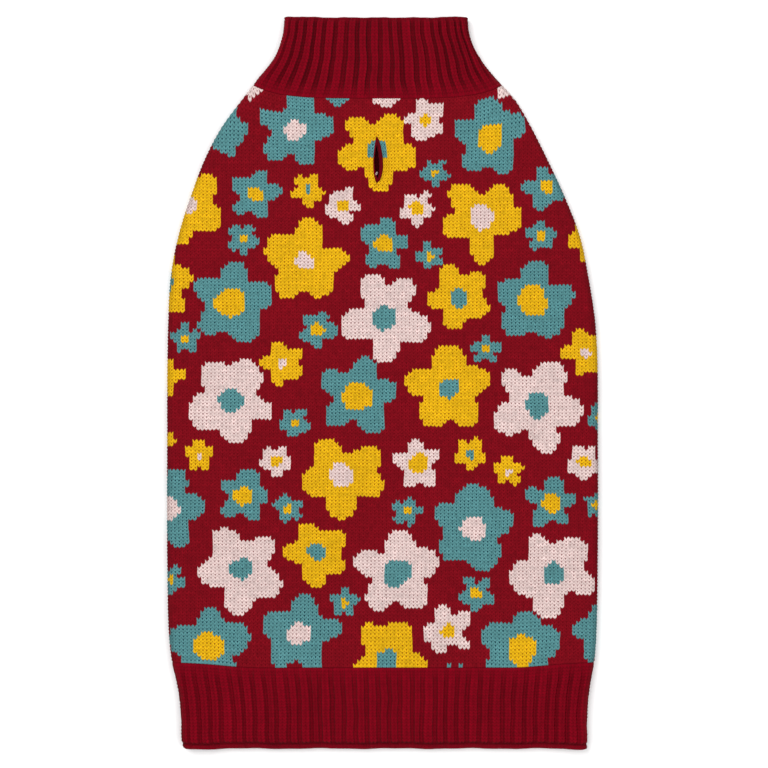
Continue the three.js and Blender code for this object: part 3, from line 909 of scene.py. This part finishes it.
def make_band(name, material, ribs, crowding, rows, girth, shading, seed):
    """A ribbed tube with so many ribs a layer. rows: height, share of the ribs' rise, how deep the row
    lies, and its painted shade."""
    own = np.random.default_rng(seed)
    place = flattened_tube(crowding)
    heights, shares, sinks, shades = rows.T
    at, lift, crest_lift = rib_columns(2 * ribs)
    arms = 0.5 * (np.arange(len(at)) % 2) * np.gradient(heights)[:, None]
    arms[0], arms[-1] = 0, 0
    grid_at = at + rib_wander(own, heights, 2 * ribs, girth)
    grid_y = heights[:, None] + arms
    from_fold = np.minimum(np.abs(at - 0.5), np.minimum(at, 1 - at)) * girth
    up = np.where(at < 0.5, 1.0, -1.0) * smoothstep(from_fold / RIB_FADE)
    noise = own.normal(0, 0.04, grid_at.shape)
    noise[:, -1] = noise[:, 0]
    depth = rib_depth(lift, up, shares, sinks) + RIB_VALLEY * shares[:, None] + np.abs(noise)
    crest = rib_depth(crest_lift, between(up), between(shares), between(sinks))
    crest += np.abs(own.normal(0, 0.03, crest.shape))
    tone = rib_tone(own, 2 * ribs, shares, shades, shading)
    # Painted shade along the band's folds
    tone *= 1 - FOLD_SHADE * np.exp(-((from_fold[:-1] / FOLD_SHADE_REACH) ** 2))
    tall = abs(heights[-1] - heights[0]) + 8

    def layout(at, y, middle):
        """The two layers lie side by side on the bake map."""
        under = middle >= 0.5
        return np.stack([(at - 0.5 * under) * girth, np.abs(y - heights[0]) + np.where(under, tall, 0)], -1)

    skin, index = knitted_ring(place, grid_at, grid_y, depth, crest, layout, tone)
    add_band_inside(skin, place, index, grid_at[0], heights, at * girth / 2, 2 * tall + 4)
    return skin.build(name, material)


def add_band_inside(skin, place, index, at, heights, along, level):
    """A band's plain inside, its columns under the outer ones, and a rim at each end. along and level
    are its place on the bake map."""
    way_in = math.copysign(SEAM_LAP + SEAM_GAP, heights[-1] - heights[0])
    rows = heights[0] + way_in + (heights[-1] - heights[0] - way_in) * np.linspace(0, 1, 5)
    inner_at, inner_y = np.broadcast_arrays(at, rows[:, None])
    first = skin.add_points(place, inner_at, inner_y, CLOTH)
    inner = closed_grid(first, *inner_y.shape)
    spots = np.stack([inner_at * along[-1], np.abs(inner_y - heights[0]) * 0.3 + level], -1)
    ends = slice(0, -1), slice(1, None)
    corners = [(ends[row], ends[column]) for row, column in ((0, 0), (1, 0), (1, 1), (0, 1))]
    add_quads(skin, [inner[corner] for corner in corners], [spots[corner] for corner in corners])
    add_ring(skin, index[0], inner[0], along, level + 24, CLOTH, (0, 1, 2, 3))
    add_ring(skin, index[-1], inner[-1], along, level + 30, CLOTH, (3, 2, 1, 0))


def make_leg_band(name, material, side):
    place = leg_ring(side)
    at, lift, crest_lift = rib_columns(LEG_RIBS)
    out, share, sink, arm = np.array(LEG_ROWS).T
    arms = LEG_ARM * (np.arange(len(at)) % 2) * arm[:, None]
    grid_at, grid_out = np.broadcast_arrays(at, out[:, None] + arms)
    depth = (LEG_VALLEY + LEG_GROOVE * (1 - lift)) * share[:, None] + sink[:, None]
    crest = LEG_GROOVE * (1 - crest_lift) * between(share)[:, None] + between(sink)[:, None]
    tone = rng.normal(1, 0.04, crest.shape)

    def layout(at, out, _):
        return np.stack([at * LEG_ROUND, out], -1)

    skin, index = knitted_ring(place, grid_at, grid_out, depth, crest, layout, tone)
    first = skin.add_points(place, at, [[LEG_INNER], [LEG_BAND - SEAM_GAP]], CLOTH)
    inner = closed_grid(first, 2, len(at))
    edges = (inner[1], inner[0], 12), (inner[0], index[0], 18), (index[-1], inner[1], 24)
    for one, other, level in edges:
        add_ring(skin, one, other, at * LEG_ROUND, level, 3.0, (0, 3, 2, 1))
    return skin.build(name, material)


class Graph:
    """A material and its nodes, with short ways to add and join them."""

    def __init__(self, name):
        self.material = bpy.data.materials.new(name)
        self.material.use_nodes = True
        self.tree = self.material.node_tree
        self.shader = self.tree.nodes["Principled BSDF"]

    def node(self, kind, **values):
        made = self.tree.nodes.new(kind)
        for key, value in values.items():
            setattr(made, key, value)
        return made

    def feed(self, socket, value):
        """Sets an input to a number, or joins it to another node's output."""
        if isinstance(value, (int, float)):
            socket.default_value = value
        else:
            self.tree.links.new(value, socket)

    def calc(self, operation, first, second=0.0, clamp=False):
        made = self.node("ShaderNodeMath", operation=operation, use_clamp=clamp)
        self.feed(made.inputs[0], first)
        self.feed(made.inputs[1], second)
        return made.outputs[0]

    def times(self, first, second, clamp=False):
        return self.calc("MULTIPLY", first, second, clamp)

    def plus(self, first, second):
        return self.calc("ADD", first, second)

    def less(self, first, second, clamp=False):
        return self.calc("SUBTRACT", first, second, clamp)

    def noise(self, scale, detail):
        """Smooth noise fixed to the object."""
        made = self.node("ShaderNodeTexNoise")
        made.inputs["Scale"].default_value = scale
        made.inputs["Detail"].default_value = detail
        self.feed(made.inputs["Vector"], self.node("ShaderNodeTexCoord").outputs["Object"])
        return made.outputs[0]

    def ramp(self, number, stops, label):
        """Colours picked by yarn number, which is given as a share of how many there are."""
        made = self.node("ShaderNodeValToRGB", label=label)
        made.color_ramp.interpolation = "CONSTANT"
        elements = made.color_ramp.elements
        while len(elements) < len(stops):
            elements.new(1.0)
        for place, colour in enumerate(stops):
            elements[place].position = place / len(stops)
            elements[place].color = (*colour, 1)
        self.feed(made.inputs[0], number)
        return made.outputs[0]


# How far from the middle of a stitch's fork, and of the gap beside it, their painted shade reaches,
# how strong the gap's is, and how much sharper than a cone both are
FORK_REACH, SIDE_REACH, SIDE_STRENGTH, DOT_SHARPNESS = 0.66, 0.5, 0.4, 2.2

# Scales of the wide mottling and of the yarn's fibres, and the strength and depth of their relief
MOTTLE_SCALE, FIBRE_SCALE, RELIEF_STRENGTH, RELIEF_DEPTH = 38, 1900, 0.84, 0.00022


def stitch_shade_dots(graph, across, rise, chance, dot_shade):
    """Dots of painted shade: strong in the fork of each stitch, weak between the columns."""
    high = graph.calc("POWER", graph.times(rise, COURSE / 2), 2.0)

    def dot(off, reach):
        wide = graph.calc("POWER", graph.times(off, HALF_WALE), 2.0)
        away = graph.calc("SQRT", graph.plus(wide, high))
        return graph.less(1.0, graph.calc("DIVIDE", away, reach), clamp=True)

    side = graph.times(dot(graph.less(1.0, across), SIDE_REACH), SIDE_STRENGTH)
    dots = graph.calc("MAXIMUM", dot(across, FORK_REACH), side)
    dots = graph.times(graph.times(dots, DOT_SHARPNESS, clamp=True), dot_shade)
    # No two stitches are pulled equally tight
    return graph.times(dots, graph.plus(graph.times(chance, 0.7), 0.5), clamp=True)


def stitch_chance(graph, parts):
    """A random number for each stitch."""
    cell = graph.node("ShaderNodeCombineXYZ")
    graph.feed(cell.inputs[0], graph.calc("ROUND", graph.calc("DIVIDE", parts[0], 2.0)))
    graph.feed(cell.inputs[1], graph.calc("ROUND", parts[1]))
    chance = graph.node("ShaderNodeTexWhiteNoise", noise_dimensions="2D")
    graph.feed(chance.inputs["Vector"], cell.outputs[0])
    return chance.outputs["Value"]


def knit_material(name, colours, hollow_shades, dot_shade, mottle=0.10, row_shade=0.08):
    """Matt yarn. Given each yarn's colour and the painted shade between its stitches, how strongly
    that painted shade shows, and how much painted shade darkens the rows' valleys."""
    graph = Graph(name)
    yarn = graph.node("ShaderNodeAttribute", attribute_name="yarn").outputs["Fac"]
    tone = graph.node("ShaderNodeAttribute", attribute_name="tone").outputs["Fac"]
    number = graph.calc("DIVIDE", graph.plus(yarn, 0.5), 4.0)
    body = graph.ramp(number, colours, "yarn")
    # The darker colours painted as shade between the stitches
    hollow_shade = graph.ramp(number, hollow_shades, "painted shade between stitches")

    knit = graph.node("ShaderNodeSeparateXYZ")
    graph.feed(knit.inputs[0], graph.node("ShaderNodeUVMap", uv_map="Knit").outputs[0])
    across = graph.calc("PINGPONG", knit.outputs[0], 1.0)
    along = graph.calc("PINGPONG", knit.outputs[1], 1.0)
    rise = graph.times(graph.calc("PINGPONG", knit.outputs[1], 0.5), 2.0)
    chance = stitch_chance(graph, knit.outputs)
    fibre = graph.noise(FIBRE_SCALE, 2)

    shade = graph.plus(graph.times(graph.less(graph.noise(MOTTLE_SCALE, 3), 0.5), mottle * 2), 1.0)
    shade = graph.plus(shade, graph.times(graph.less(fibre, 0.5), 0.5))
    shade = graph.times(shade, tone)
    shade = graph.times(shade, graph.plus(graph.times(chance, 0.16), 0.92))
    # Painted shade in the valleys between the rows
    valley = graph.calc("POWER", graph.less(1.0, rise), 2.0)
    shade = graph.times(shade, graph.less(1.0, graph.times(valley, row_shade)))

    # The painted shade between the stitches mixes in at the dots
    mixed = graph.node("ShaderNodeMix", data_type="RGBA")
    graph.feed(mixed.inputs["Factor"], stitch_shade_dots(graph, across, rise, chance, dot_shade))
    graph.feed(mixed.inputs["A"], body)
    graph.feed(mixed.inputs["B"], hollow_shade)
    shaded = graph.node("ShaderNodeVectorMath", operation="SCALE")
    graph.feed(shaded.inputs[0], mixed.outputs["Result"])
    graph.feed(shaded.inputs["Scale"], shade)
    inputs = graph.shader.inputs
    graph.feed(inputs["Base Color"], shaded.outputs[0])

    # Twisted plies and loose fibres
    twist = graph.plus(graph.times(across, 2.2), graph.times(along, 1.1))
    twist = graph.calc("SINE", graph.times(twist, 2 * math.pi))
    bump = graph.node("ShaderNodeBump")
    bump.inputs["Strength"].default_value = RELIEF_STRENGTH
    bump.inputs["Distance"].default_value = RELIEF_DEPTH
    graph.feed(bump.inputs["Height"], graph.plus(graph.times(twist, 0.22), graph.times(fibre, 0.9)))
    graph.feed(inputs["Normal"], bump.outputs[0])
    graph.feed(inputs["Roughness"], graph.plus(0.8, graph.times(fibre, 0.2)))
    inputs["Specular IOR Level"].default_value = 0.05
    inputs["Sheen Weight"].default_value = 0.04
    inputs["Sheen Roughness"].default_value = 0.5
    inputs["Sheen Tint"].default_value = (1.0, 0.6, 0.55, 1)
    return graph.material


def srgb(red, green, blue):
    """A colour in 0 to 255 as the shader's linear values."""
    out = []
    for value in (red, green, blue):
        value /= 255
        out.append(value / 12.92 if value <= 0.04045 else ((value + 0.055) / 1.055) ** 2.4)
    return tuple(out)


# Colours of the ground, teal, mustard and blush yarns, and the painted shade between their stitches
YARNS = (srgb(121, 9, 23), srgb(86, 139, 142), srgb(221, 173, 20), srgb(219, 197, 193))
HOLLOW_SHADES = (srgb(100, 2, 14), srgb(12, 50, 62), srgb(146, 92, 4), srgb(140, 102, 102))
RIB_YARNS = (srgb(118, 1, 20),) * 4
RIB_HOLLOW_SHADES = (srgb(68, 0, 5),) * 4

jacquard = knit_material("flower_jacquard", YARNS, HOLLOW_SHADES, dot_shade=1.0)
plain = knit_material("plain_knit", RIB_YARNS, RIB_HOLLOW_SHADES, dot_shade=0.8)
rib = knit_material("rib_knit", RIB_YARNS, RIB_HOLLOW_SHADES, dot_shade=0.4, mottle=0.13, row_shade=0.2)

back = make_back(jacquard)
binding = make_slit_binding(rib)
chest = make_chest(plain)
collar_rows = band_rows(COLLAR_SEAM - SEAM_LAP, COLLAR_RIBBED_TO, NECK_ROWS)
hem_rows = band_rows(HEM_SEAM + SEAM_LAP, HEM_RIBBED_TO, WELT_ROWS)
collar = make_band(
    "collar_knit", rib, COLLAR_RIBS, COLLAR_CROWDING, collar_rows, COLLAR_GIRTH, COLLAR_SHADING, seed=3
)
hem = make_band("hem_knit", rib, HEM_RIBS, HEM_CROWDING, hem_rows, HEM_GIRTH, HEM_SHADING, seed=4)
band_left = make_leg_band("leg_band_left_knit", rib, -1)
band_right = make_leg_band("leg_band_right_knit", rib, 1)

for piece, node_name, slot_name in (
    (back, "back_panel", "flower_jacquard"),
    (chest, "chest_panel", "plain_knit"),
    (collar, "collar_rib", "rib_knit"),
    (hem, "hem_rib", "rib_knit"),
    (band_left, "leg_band_left", "rib_knit"),
    (band_right, "leg_band_right", "rib_knit"),
):
    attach(piece, "root")
    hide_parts(node_name)

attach(binding, "root")


def panel_cut(reaches):
    """A panel's widest width in metres, and its area in square metres."""
    widths = sum(reaches(np.linspace(HEM_SEAM, COLLAR_SEAM, 200)))
    return float(widths.max()) * MM, float(widths.mean()) * (COLLAR_SEAM - HEM_SEAM) * MM * MM


back_width, back_area = panel_cut(back_reaches)
chest_width, chest_area = panel_cut(chest_reaches)
chest_area -= 2 * math.pi * HOLE_ACROSS * HOLE_ALONG * MM * MM

# The stage, in metres: half the floor's side, and each light's name, place, size and power
FLOOR_REACH = 3
LIGHTS = (("key", (-0.8, 0.7, 1.5), 1.5, 23), ("fill", (1.1, -0.3, 1.6), 1.6, 16))

# The camera's lens, and the height over the floor at which its picture is as wide as the photograph
LENS, FOCUS_HEIGHT = 85, 0.005


def make_floor():
    mesh = bpy.data.meshes.new("floor")
    corners = [(x * FLOOR_REACH, y * FLOOR_REACH, 0) for x, y in ((-1, -1), (1, -1), (1, 1), (-1, 1))]
    mesh.from_pydata(corners, [], [(0, 1, 2, 3)])
    floor = bpy.data.objects.new("floor", mesh)
    bpy.context.scene.collection.objects.link(floor)
    graph = Graph("pale_floor")
    graph.shader.inputs["Base Color"].default_value = (0.96, 0.96, 0.96, 1)
    graph.shader.inputs["Roughness"].default_value = 0.9
    mesh.materials.append(graph.material)
    return floor


def make_camera():
    """Straight above, with the photograph's frame."""
    data = bpy.data.cameras.new("camera")
    data.lens = LENS
    camera = bpy.data.objects.new("camera", data)
    wide = PHOTO_PIXELS * PIXEL_MM * MM
    camera.location = (
        (PHOTO_PIXELS / 2 - MIDDLE_PX) * PIXEL_MM * MM,
        (MIDDLE_PY - PHOTO_PIXELS / 2) * PIXEL_MM * MM,
        FOCUS_HEIGHT + wide * data.lens / data.sensor_width,
    )
    bpy.context.scene.collection.objects.link(camera)
    return camera


def add_light(name, place, size, power):
    """A round soft light that faces the middle of the sweater."""
    data = bpy.data.lights.new(name, "AREA")
    data.shape = "DISK"
    data.size = size
    data.energy = power
    light = bpy.data.objects.new(name, data)
    light.location = place
    light.rotation_mode = "QUATERNION"
    light.rotation_quaternion = (-Vector(place)).to_track_quat("-Z", "Y")
    bpy.context.scene.collection.objects.link(light)


def make_world():
    world = bpy.data.worlds.new("studio")
    world.use_nodes = True
    background = world.node_tree.nodes["Background"]
    background.inputs["Color"].default_value = (1, 1, 1, 1)
    background.inputs["Strength"].default_value = 0.55
    return world


make_floor()
bpy.context.scene.camera = make_camera()
for light in LIGHTS:
    add_light(*light)
bpy.context.scene.world = make_world()
bpy.context.scene.view_settings.view_transform = "Standard"
